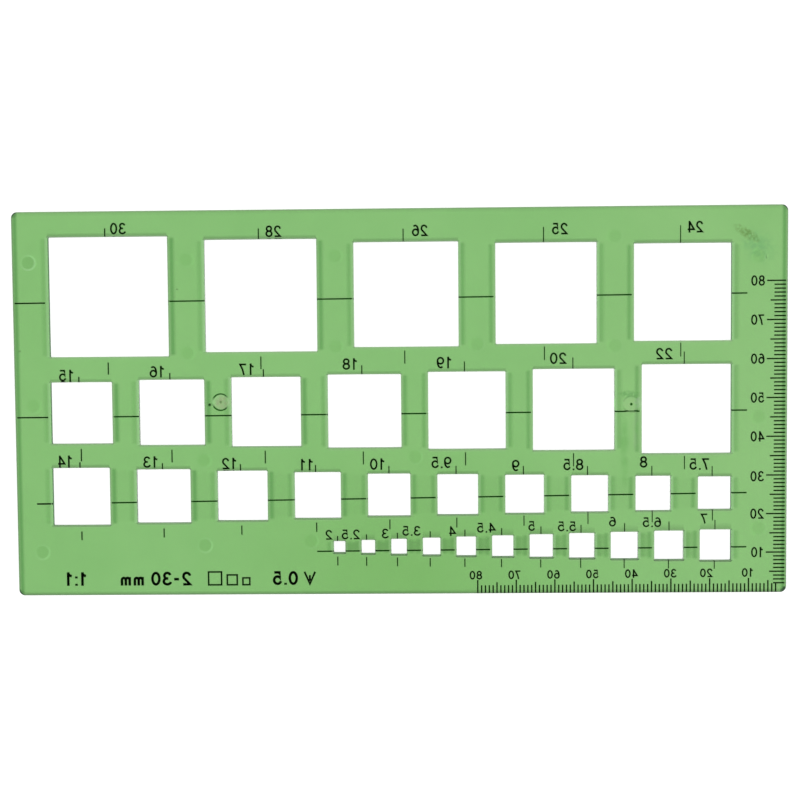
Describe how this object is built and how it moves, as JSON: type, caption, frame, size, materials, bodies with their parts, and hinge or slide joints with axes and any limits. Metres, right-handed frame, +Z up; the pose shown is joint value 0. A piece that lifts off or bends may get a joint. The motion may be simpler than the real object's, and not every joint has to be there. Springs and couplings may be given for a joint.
{
  "type": "drawing template",
  "caption": "Flat transparent green plastic drawing template with rows of graded square openings, printed centre lines and two edge scales.",
  "frame": {"origin": "under the middle of the plate, on the surface that its raised pads stand on", "axes": "+X along the plate's length towards the vertical scale, +Y across it towards the row of largest squares, +Z up through the plate, from the printed face to the back face"},
  "size_m": [0.2, 0.1, 0.0016],
  "materials": {
    "green_plastic": "gloss",
    "printing_ink": "matte"
  },
  "bodies": {
    "root": {"plate": "green_plastic", "centre_line_1_1": "printing_ink", "centre_line_1_2": "printing_ink", "centre_line_1_3": "printing_ink", "centre_line_1_4": "printing_ink", "centre_line_1_5": "printing_ink", "centre_line_1_6": "printing_ink", "centre_line_2_1": "printing_ink", "centre_line_2_2": "printing_ink", "centre_line_2_3": "printing_ink", "centre_line_2_4": "printing_ink", "centre_line_2_5": "printing_ink", "centre_line_2_6": "printing_ink", "centre_line_2_7": "printing_ink", "centre_line_2_8": "printing_ink", "centre_line_3_1": "printing_ink", "centre_line_3_2": "printing_ink", "centre_line_3_3": "printing_ink", "centre_line_3_4": "printing_ink", "centre_line_3_5": "printing_ink", "centre_line_3_6": "printing_ink", "centre_line_3_7": "printing_ink", "centre_line_3_8": "printing_ink", "centre_line_3_9": "printing_ink", "centre_line_3_10": "printing_ink", "centre_line_3_11": "printing_ink", "centre_line_4_1": "printing_ink", "centre_line_4_2": "printing_ink", "centre_line_4_3": "printing_ink", "centre_line_4_4": "printing_ink", "centre_line_4_5": "printing_ink", "centre_line_4_6": "printing_ink", "centre_line_4_7": "printing_ink", "centre_line_4_8": "printing_ink", "centre_line_4_9": "printing_ink", "centre_line_4_10": "printing_ink", "centre_line_4_11": "printing_ink", "centre_line_4_12": "printing_ink", "bottom_scale": "printing_ink", "side_scale": "printing_ink"}
  },
  "joints": []
}
